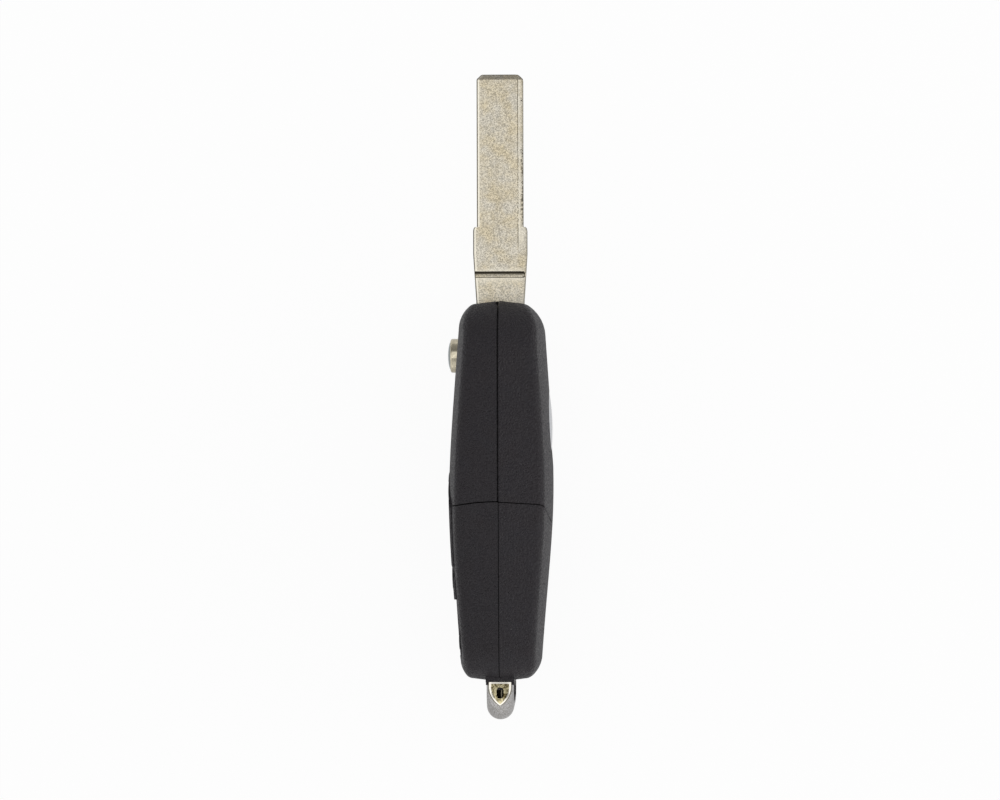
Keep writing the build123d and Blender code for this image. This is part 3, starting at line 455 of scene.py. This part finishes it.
# Release button: a turned brass cap, nickel plated and polished, that frees the blade. Its
# end is a low dome inside a turned rim. Handling has yellowed the barrel but not the dome.
bright_nickel = finish_named("polished_nickel_plate", Metallic=1.0)
spot = in_mm(bright_nickel)
wear = add(bright_nickel, "TexNoise", [("Vector", spot)], Scale=2.2, Detail=5.0, Roughness=0.7)
spread = add(bright_nickel, "MapRange", [("Value", wear.outputs["Fac"])],
             From_Min=0.35, From_Max=0.7, To_Min=0.14, To_Max=0.3)
barrel = add(bright_nickel, "MixRGB", [("Fac", wear.outputs["Fac"])],
             Color1=linear("#ece4cd"), Color2=linear("#9d937f"))
BARREL_STOPS, DOME_STARTS = -9.47, -9.53  # along X, in mm, as the ends of their colours
axes = add(bright_nickel, "SeparateXYZ", [("Vector", spot)])
on_dome = add(bright_nickel, "MapRange", [("Value", axes.outputs["X"])],
              From_Min=BARREL_STOPS, From_Max=DOME_STARTS, To_Min=0.0, To_Max=1.0)
tone = add(bright_nickel, "MixRGB", [("Fac", on_dome.outputs["Result"]),
                                     ("Color1", barrel.outputs["Color"])],
           Color2=linear("#8d9697"))
show(bright_nickel, Base_Color=tone.outputs["Color"], Roughness=spread.outputs["Result"])
button = finished_copy("release_button", bright_nickel)
# the flat end of the CAD piece is taken off and built again as rings of (place, radius) in mm
BARREL_END, BARREL_RADIUS, END_SLACK = -8.9, 3.15, 0.01
DOME_RINGS = ((-9.2, 3.13), (-9.37, 3.04), (-9.47, 2.88), (-9.5, 2.7), (-9.5, 2.62), (-9.62, 2.4),
              (-9.74, 2.0), (-9.84, 1.5), (-9.91, 0.9), (-9.94, 0.4))
work = bmesh.new()
work.from_mesh(button.data)
flat_end = [f for f in work.faces
            if all(v.co.x * 1000 < BARREL_END + END_SLACK for v in f.verts)]
bmesh.ops.delete(work, geom=flat_end, context="FACES")
low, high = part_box("release_button")
middle_y, middle_z = (low.y + high.y) / 2, (low.z + high.z) / 2
ring = sorted((v for v in work.verts if v.is_boundary),
              key=lambda v: math.atan2(v.co.z - middle_z, v.co.y - middle_y))
start = [(v.co.y - middle_y, v.co.z - middle_z) for v in ring]
rings = [ring]
for x, radius in DOME_RINGS:
    share = radius / BARREL_RADIUS
    rings.append([work.verts.new((x / 1000, middle_y + y * share, middle_z + z * share))
                  for y, z in start])
skinned(work, rings)
work.faces.new(rings[-1])
bmesh.ops.recalc_face_normals(work, faces=work.faces)
smoothed(work, crease=24)
work.to_mesh(button.data)
work.free()

# Key-ring loop: a half-round bar cast in zinc, tumbled and nickel plated. The rounded side is
# satin, with fine pits from the casting, and the dished flat on each shoulder is polished.
def tumbled(material, spot):
    """The casting's pits, and the colour of the plate that was tumbled over them."""
    pits = add(material, "TexNoise", [("Vector", spot)], Scale=4.5, Detail=4.0, Roughness=0.7)
    speckle = add(material, "MapRange", [("Value", pits.outputs["Fac"])],
                  From_Min=0.36, From_Max=0.64, To_Min=0.0, To_Max=1.0)
    plate = add(material, "MixRGB", [("Fac", speckle.outputs["Result"])],
                Color1=linear("#8b8983"), Color2=linear("#c3c1c2"))
    return pits, plate


satin_nickel = finish_named("tumbled_nickel_plated_zinc", Metallic=1.0)
spot = in_mm(satin_nickel)
pits, plate = tumbled(satin_nickel, spot)
bands = add(satin_nickel, "TexNoise", [("Vector", spot)], Scale=0.7, Detail=2.0)
spread = add(satin_nickel, "MapRange", [("Value", bands.outputs["Fac"])],
             From_Min=0.35, From_Max=0.7, To_Min=0.4, To_Max=0.55)
relief = add(satin_nickel, "Bump", [("Height", pits.outputs["Fac"])],
             Strength=0.5, Distance=0.00004)
show(satin_nickel, Base_Color=plate.outputs["Color"], Roughness=spread.outputs["Result"],
     Normal=relief.outputs["Normal"])
# The polished flat is shield shaped. It carries a painted reflection, white along its rim and
# streaked yellow and dark in its middle, with a line of painted shade at its edge.
polished = finish_named("polished_nickel_flat", Metallic=1.0)
spot = in_mm(polished)
axes = add(polished, "SeparateXYZ", [("Vector", spot)])
swirls = add(polished, "TexNoise", [("Vector", spot)], Scale=1.6, Detail=3.0, Distortion=1.4)
SHIELD_TIP, SHIELD_WAIST, SHIELD_HALF, SHIELD_TOP = -55.9, -52.4, 2.2, -51.5
SHIELD_CURVE, SHIELD_FULLNESS, SHIELD_INSET = 2.0, 0.75, 0.17
along = add(polished, "MapRange", [("Value", axes.outputs["Y"])], From_Min=SHIELD_WAIST,
            From_Max=SHIELD_TIP, To_Min=0.0, To_Max=1.0)
squared = add(polished, "Math", [(0, along.outputs["Result"])], operation="POWER")
squared.inputs[1].default_value = SHIELD_CURVE
left_over = add(polished, "Math", [(1, squared.outputs["Value"])], operation="SUBTRACT")
left_over.inputs[0].default_value = 1.0
taper = add(polished, "Math", [(0, left_over.outputs["Value"])], operation="POWER")
taper.inputs[1].default_value = SHIELD_FULLNESS
reach = add(polished, "Math", [(0, taper.outputs["Value"])], operation="MULTIPLY")
reach.inputs[1].default_value = SHIELD_HALF
off_middle = add(polished, "Math", [(0, axes.outputs["X"])], operation="ABSOLUTE")
from_side = add(polished, "Math", [(0, reach.outputs["Value"]), (1, off_middle.outputs["Value"])],
                operation="SUBTRACT")
from_side = add(polished, "Math", [(0, from_side.outputs["Value"])], operation="SUBTRACT")
from_side.inputs[1].default_value = SHIELD_INSET
from_top = add(polished, "Math", [(1, axes.outputs["Y"])], operation="SUBTRACT")
from_top.inputs[0].default_value = SHIELD_TOP
depth = add(polished, "Math", [(0, from_side.outputs["Value"]), (1, from_top.outputs["Value"])],
            operation="MINIMUM")
streaks = add(polished, "MapRange", [("Value", swirls.outputs["Fac"])],
              From_Min=0.42, From_Max=0.6, To_Min=0.0, To_Max=1.0)
# the painted reflection: streaked in the middle, white along the rim, and a line of painted shade
# at the edge
streaked_reflection = add(polished, "MixRGB", [("Fac", streaks.outputs["Result"])],
               Color1=linear("#d8cda6"), Color2=linear("#5f5332"))
middle = add(polished, "MapRange", [("Value", depth.outputs["Value"])],
             From_Min=0.36, From_Max=0.46, To_Min=0.0, To_Max=1.0)
highlighted = add(polished, "MixRGB", [("Fac", middle.outputs["Result"]),
                                  ("Color2", streaked_reflection.outputs["Color"])],
             Color1=linear("#f6f2e8"))
edge_shade = add(polished, "MapRange", [("Value", depth.outputs["Value"])],
                From_Min=0.0, From_Max=0.12, To_Min=0.0, To_Max=1.0)
outlined = add(polished, "MixRGB", [("Fac", edge_shade.outputs["Result"]),
                                    ("Color2", highlighted.outputs["Color"])],
               Color1=linear("#5c5748"))
bar = add(polished, "MapRange", [("Value", depth.outputs["Value"])],
          From_Min=-0.16, From_Max=-0.08, To_Min=0.0, To_Max=1.0)
pits, plate = tumbled(polished, spot)
tone = add(polished, "MixRGB", [("Fac", bar.outputs["Result"]), ("Color1", plate.outputs["Color"]),
                                ("Color2", outlined.outputs["Color"])])
spread = add(polished, "MapRange", [("Value", bar.outputs["Result"])], To_Min=0.38, To_Max=0.2)
show(polished, Base_Color=tone.outputs["Color"], Roughness=spread.outputs["Result"])
# the blind hole carries painted shade, dark but for a line of painted glint
shaded_bore = finish_named("painted_shade_zinc_bore", Metallic=1.0, Roughness=0.6)
axes = add(shaded_bore, "SeparateXYZ", [("Vector", in_mm(shaded_bore))])
painted_glint = add(shaded_bore, "Math", [(0, axes.outputs["X"])], operation="COMPARE")
GLINT_X, GLINT_HALF = 0.22, 0.09
painted_glint.inputs[1].default_value, painted_glint.inputs[2].default_value = GLINT_X, GLINT_HALF
tone = add(shaded_bore, "MixRGB", [("Fac", painted_glint.outputs["Value"])],
           Color1=linear("#1d1a12"), Color2=linear("#b5ad98"))
show(shaded_bore, Base_Color=tone.outputs["Color"])
loop = finished_copy("keyring_loop", satin_nickel)
loop.data.materials.append(polished)
loop.data.materials.append(shaded_bore)
loop_low, loop_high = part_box("keyring_loop")
FLAT_DEPTH, FLAT_LIP, FACES_OUT = 0.00145, 0.0011, 0.85
LIP_SLACK, DEPTH_SLACK = 0.00002, 0.00005
BORE_Y, BORE_STRAIGHT, BORE_RADIUS = -0.053575, 0.00035, 0.00068
BORE_START, BORE_DEPTH = 0.0012, 0.0032
# the blind hole's faces take the painted shade, and the dished flats' faces the painted reflection
for face in loop.data.polygons:
    sunk = min(face.center.z - loop_low[2], loop_high[2] - face.center.z)
    past_straight = max(0.0, abs(face.center.y - BORE_Y) - BORE_STRAIGHT)
    on_flat = FLAT_LIP < sunk + LIP_SLACK and sunk < FLAT_DEPTH + DEPTH_SLACK
    in_bore = math.hypot(face.center.x, past_straight) < BORE_RADIUS
    if in_bore and BORE_START < sunk < BORE_DEPTH:
        face.material_index = 2
    elif on_flat and abs(face.normal.z) > FACES_OUT:
        face.material_index = 1

# Badge: a bare domed disc set in the back of the head, over the head screw. It is pressed from
# alloy, polished and chromed, so it is a mirror with a faint haze.
chrome = finish_named("polished_chromed_disc", Metallic=1.0)
spot = in_mm(chrome)
haze = add(chrome, "TexNoise", [("Vector", spot)], Scale=1.4, Detail=4.0)
spread = add(chrome, "MapRange", [("Value", haze.outputs["Fac"])],
             From_Min=0.35, From_Max=0.75, To_Min=0.06, To_Max=0.2)
tone = add(chrome, "MixRGB", [("Fac", haze.outputs["Fac"])],
           Color1=linear("#c3c8cf"), Color2=linear("#d6dae0"))
show(chrome, Base_Color=tone.outputs["Color"], Roughness=spread.outputs["Result"])
BADGE_RISE, BADGE_EDGE, BADGE_SIDES = 0.6, 0.15, 128
BADGE_FOOT, EDGE_SWELL = 0.1, 1.2         # the chamfer at its foot, and how full its edge turns
low, high = [[v * 1000 for v in corner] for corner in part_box("back_badge")]
radius, crown = (high[1] - low[1]) / 2, high[0]
dome = (radius ** 2 + BADGE_RISE ** 2) / (2 * BADGE_RISE)
profile = [(radius - BADGE_FOOT, low[0]), (radius, low[0] + BADGE_FOOT),
           (radius, crown - BADGE_RISE - BADGE_EDGE)]
for degrees in (25, 50, 75):
    angle = math.radians(degrees)
    profile.append((radius - BADGE_EDGE * (1 - math.cos(angle)),
                    crown - BADGE_RISE - BADGE_EDGE * (1 - EDGE_SWELL * math.sin(angle))))
for share in (0.96, 0.9, 0.8, 0.68, 0.55, 0.42, 0.28, 0.14):
    profile.append((share * radius, crown - dome + math.sqrt(dome ** 2 - (share * radius) ** 2)))
work = bmesh.new()
rings = []
angles = [2 * math.pi * i / BADGE_SIDES for i in range(BADGE_SIDES)]
for reach, x in profile:
    rings.append([work.verts.new((x / 1000, ((low[1] + high[1]) / 2 + reach * math.cos(a)) / 1000,
                                  ((low[2] + high[2]) / 2 + reach * math.sin(a)) / 1000))
                  for a in angles])
skinned(work, rings)
for ring, x in ((rings[0], low[0]), (rings[-1], crown)):
    middle = work.verts.new((x / 1000, (low[1] + high[1]) / 2000, (low[2] + high[2]) / 2000))
    for i in range(BADGE_SIDES):
        work.faces.new((ring[i - 1], ring[i], middle))
made_here("back_badge", work, crease=40, material=chrome)

# Inside the remote: a silicone membrane under the buttons, a glass-epoxy board with its
# switches and parts, a coin cell in a drawn steel can, and the transponder in the head.
def plain_finish(name, dark, pale, size_mm, smoothest, roughest, **settings):
    """A finish that varies between two colours and two roughnesses over size_mm."""
    material = finish_named(name, **settings)
    patch = add(material, "TexNoise", [("Vector", in_mm(material))], Scale=1 / size_mm, Detail=3.0)
    spread = add(material, "MapRange", [("Value", patch.outputs["Fac"])],
                 From_Min=0.35, From_Max=0.65, To_Min=smoothest, To_Max=roughest)
    tone = add(material, "MixRGB", [("Fac", patch.outputs["Fac"])],
               Color1=linear(dark), Color2=linear(pale))
    show(material, Base_Color=tone.outputs["Color"], Roughness=spread.outputs["Result"])
    return material


silicone = plain_finish("grey_silicone_rubber", "#4a4a4e", "#545459", 0.6, 0.55, 0.7)
solder_mask = plain_finish("green_solder_mask", "#0f4a2c", "#14593a", 0.8, 0.25, 0.4, IOR=1.52)
epoxy = plain_finish("moulded_black_epoxy", "#1a1a1b", "#262627", 0.2, 0.5, 0.65)
ferrite = plain_finish("sintered_ferrite", "#242527", "#303133", 0.15, 0.55, 0.75)
can_steel = plain_finish("drawn_can_steel", "#b4b4b2", "#c9c9c7", 0.4, 0.2, 0.34, Metallic=1.0)
inside = {
    "keypad_membrane": silicone, "circuit_board": solder_mask, "lock_switch": epoxy,
    "unlock_switch": epoxy, "boot_switch": epoxy, "remote_chip": epoxy, "resonator": epoxy,
    "transponder_chip": epoxy, "antenna_coil": ferrite, "coin_cell": can_steel,
}
for name, material in inside.items():
    finished_copy(name, material)


def set_out(name, values, make, material):
    """Like pieces set out by a node tree: make(tree, inputs) returns the points and the piece."""
    tree = bpy.data.node_groups.new(name, "GeometryNodeTree")
    tree.interface.new_socket("Geometry", in_out="OUTPUT", socket_type="NodeSocketGeometry")
    for key, value in values.items():
        kind = {int: "Int", float: "Float", tuple: "Vector"}[type(value)]
        tree.interface.new_socket(key, in_out="INPUT", socket_type="NodeSocket" + kind)
    inputs = tree.nodes.new("NodeGroupInput").outputs
    points, piece = make(tree, inputs)
    placed = tree.nodes.new("GeometryNodeInstanceOnPoints")
    real = tree.nodes.new("GeometryNodeRealizeInstances")
    coloured = tree.nodes.new("GeometryNodeSetMaterial")
    coloured.inputs["Material"].default_value = material
    out = tree.nodes.new("NodeGroupOutput")
    for socket, target in ((points, placed.inputs["Points"]), (piece, placed.inputs["Instance"]),
                           (placed.outputs["Instances"], real.inputs["Geometry"]),
                           (real.outputs["Geometry"], coloured.inputs["Geometry"]),
                           (coloured.outputs["Geometry"], out.inputs["Geometry"])):
        tree.links.new(socket, target)
    maker = bpy.data.objects.new(name, bpy.data.meshes.new(name + "_seed"))
    bpy.context.scene.collection.objects.link(maker)
    nodes = maker.modifiers.new(name, "NODES")
    nodes.node_group = tree
    for item in tree.interface.items_tree:
        if item.in_out == "INPUT":
            nodes[item.identifier] = values[item.name]
    made = maker.evaluated_get(bpy.context.evaluated_depsgraph_get())
    maker.data = bpy.data.meshes.new_from_object(made)
    maker.modifiers.clear()
    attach(maker, "housing")
    return maker


def wire_turns(tree, inputs):
    """Rectangular turns of round wire in a row."""
    row = tree.nodes.new("GeometryNodeMeshLine")
    turn = tree.nodes.new("GeometryNodeCurvePrimitiveQuadrilateral")
    wire = tree.nodes.new("GeometryNodeCurvePrimitiveCircle")
    wire.inputs["Resolution"].default_value = 6
    swept = tree.nodes.new("GeometryNodeCurveToMesh")
    for key, target in (("Turns", row.inputs["Count"]),
                        ("First turn", row.inputs["Start Location"]),
                        ("Pitch", row.inputs["Offset"]), ("Depth", turn.inputs["Width"]),
                        ("Width", turn.inputs["Height"]), ("Wire radius", wire.inputs["Radius"])):
        tree.links.new(inputs[key], target)
    tree.links.new(turn.outputs["Curve"], swept.inputs["Curve"])
    tree.links.new(wire.outputs["Curve"], swept.inputs["Profile Curve"])
    return row.outputs["Mesh"], swept.outputs["Mesh"]


def leg_row(tree, inputs):
    """Small blocks of tinned lead in a row."""
    row = tree.nodes.new("GeometryNodeMeshLine")
    leg = tree.nodes.new("GeometryNodeMeshCube")
    for key, target in (("Legs", row.inputs["Count"]), ("First leg", row.inputs["Start Location"]),
                        ("Pitch", row.inputs["Offset"]), ("Leg size", leg.inputs["Size"])):
        tree.links.new(inputs[key], target)
    return row.outputs["Mesh"], leg.outputs["Mesh"]


# The antenna is wound in 0.1 mm enamelled copper wire, and the chip stands on tinned legs.
copper = plain_finish("enamelled_copper_wire", "#8f4a26", "#b36236", 0.3, 0.2, 0.35, Metallic=1.0)
tinned = plain_finish("tinned_copper_lead", "#b9bab9", "#d0d1d0", 0.2, 0.25, 0.4, Metallic=1.0)
low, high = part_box("antenna_coil")
for place, y in (("low", low[1] + 0.0004), ("high", high[1] - 0.0004)):
    turns = set_out("antenna_winding_" + place, {
        "Turns": 20, "First turn": ((low[0] + high[0]) / 2 + 0.00005, y, low[2] + 0.001),
        "Pitch": (0.0, 0.0, 0.000155), "Depth": 0.0014, "Width": 0.0009, "Wire radius": 0.00005},
        wire_turns, copper)
low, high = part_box("remote_chip")
for place, y in (("low", low[1] - 0.0002), ("high", high[1] + 0.0002)):
    legs = set_out("chip_legs_" + place, {
        "Legs": 8, "First leg": (low[0] + 0.00008, y, low[2] + 0.0004), "Pitch": (0.0, 0.0, 0.0006),
        "Leg size": (0.00016, 0.0006, 0.00026)}, leg_row, tinned)

# Studio: a white table and white surroundings, both bright to the camera, with a soft box on
# each side and a large one overhead.
floor_mesh = bpy.data.meshes.new("table")
TABLE_HALF, TABLE_DROP = 1.5, 0.00003     # the drop keeps the table clear of the key's edge
floor_mesh.from_pydata([(x * TABLE_HALF, y * TABLE_HALF, 0)
                        for x, y in ((-1, -1), (1, -1), (1, 1), (-1, 1))], [], [(0, 1, 2, 3)])
floor = bpy.data.objects.new("table", floor_mesh)
bpy.context.scene.collection.objects.link(floor)
floor.location.z = -TABLE_DROP
white_table = bpy.data.materials.new("white_table")
white_table.use_nodes = True
tree = white_table.node_tree
tree.nodes.remove(shader_of(white_table))
SEEN_GLOW, MIRRORED_GLOW = 0.94, 0.3      # how much of it glows when seen, and when mirrored
ray = add(white_table, "LightPath")
seen = add(white_table, "Math", [(0, ray.outputs["Is Camera Ray"]),
                                 (1, ray.outputs["Is Transmission Ray"])], operation="MAXIMUM")
mirrored = add(white_table, "Math", [(0, ray.outputs["Is Glossy Ray"])], operation="MULTIPLY")
mirrored.inputs[1].default_value = MIRRORED_GLOW
either = add(white_table, "Math", [(0, seen.outputs["Value"]), (1, mirrored.outputs["Value"])],
             operation="MAXIMUM")
share = add(white_table, "Math", [(0, either.outputs["Value"])], operation="MULTIPLY")
share.inputs[1].default_value = SEEN_GLOW
matt = add(white_table, "BsdfDiffuse", Color=(0.88, 0.88, 0.88, 1))
glow = add(white_table, "Emission", Color=(1, 1, 1, 1), Strength=1.0)
mixed = add(white_table, "MixShader", [("Fac", share.outputs["Value"]), (1, matt.outputs["BSDF"]),
                                       (2, glow.outputs["Emission"])])
tree.links.new(mixed.outputs["Shader"], tree.nodes["Material Output"].inputs["Surface"])
floor_mesh.materials.append(white_table)

world = bpy.data.worlds.new("white_surroundings")
bpy.context.scene.world = world
world.use_nodes = True
sky = world.node_tree.nodes["Background"]
ray = add(world, "LightPath")
seen = add(world, "Math", [(0, ray.outputs["Is Camera Ray"]),
                           (1, ray.outputs["Is Transmission Ray"])], operation="MAXIMUM")
# a glossy ray meets white walls that dim with height, on the front's side and at the far end
direction = add(world, "TexCoord")
heading = add(world, "SeparateXYZ", [("Vector", direction.outputs["Generated"])])
wall = add(world, "MapRange", [("Value", heading.outputs["Z"])], From_Min=0.0, From_Max=0.9,
           To_Min=0.95, To_Max=0.43)
far_end = add(world, "MapRange", [("Value", heading.outputs["Y"])], From_Min=-0.35, From_Max=0.35,
              To_Min=1.5, To_Max=0.5)
front_side = add(world, "MapRange", [("Value", heading.outputs["X"])], From_Min=-0.5, From_Max=0.0,
                 To_Min=0.75, To_Max=1.0)
ends = add(world, "Math", [(0, far_end.outputs["Result"]), (1, front_side.outputs["Result"])],
           operation="MULTIPLY")
walls = add(world, "Math", [(0, ends.outputs["Value"]), (1, wall.outputs["Result"])],
            operation="MULTIPLY")
glossy = add(world, "Math", [(0, ray.outputs["Is Glossy Ray"]), (1, walls.outputs["Value"])],
             operation="MULTIPLY")
bounced = add(world, "Math", [(0, glossy.outputs["Value"]), (1, seen.outputs["Value"])],
              operation="MAXIMUM")
# other rays meet an even 0.6
even = add(world, "MapRange", [("Value", ray.outputs["Is Glossy Ray"])], To_Min=0.6, To_Max=0.0)
level = add(world, "Math", [(0, bounced.outputs["Value"]), (1, even.outputs["Result"])],
            operation="MAXIMUM")
world.node_tree.links.new(level.outputs["Value"], sky.inputs["Strength"])
sky.inputs["Color"].default_value = (1, 1, 1, 1)
KEY_MIDDLE = Vector((0, 0, 0.018))


def soft_box(name, place, size, power):
    """A square area lamp that faces the middle of the key."""
    lamp = bpy.data.lights.new(name, "AREA")
    lamp.shape, lamp.size, lamp.energy = "SQUARE", size, power
    box = bpy.data.objects.new(name, lamp)
    bpy.context.scene.collection.objects.link(box)
    box.location = place
    box.rotation_euler = (Vector(place) - KEY_MIDDLE).to_track_quat("Z", "Y").to_euler()


soft_box("overhead_box", (0.0, 0.12, 0.9), size=0.7, power=1.4)
soft_box("right_box", (0.75, 0.05, 0.3), size=0.5, power=1.6)
soft_box("left_box", (-0.75, 0.0, 0.3), size=0.5, power=0.6)

# Camera: looks straight down at the key's long edge from 0.6 m, a little from the back's side.
CAMERA_RISE, LEAN, ROLL = 0.6, 1.46, -0.15    # metres above the key's middle, and degrees
SHIFT = Vector((-0.00015, -0.00085, 0))       # of what it aims at, from the key's middle
camera = bpy.data.cameras.new("photo_view")
camera.sensor_width, camera.lens = 36, 117.9
viewer = bpy.data.objects.new("photo_view", camera)
bpy.context.scene.collection.objects.link(viewer)
turn = Euler((0, math.radians(LEAN), math.radians(ROLL)), "XYZ").to_matrix().to_4x4()
aim = Matrix.Translation(KEY_MIDDLE + SHIFT)
viewer.matrix_world = aim @ turn @ Matrix.Translation((0, 0, CAMERA_RISE))
bpy.context.scene.camera = viewer
bpy.context.scene.view_settings.view_transform = "Standard"
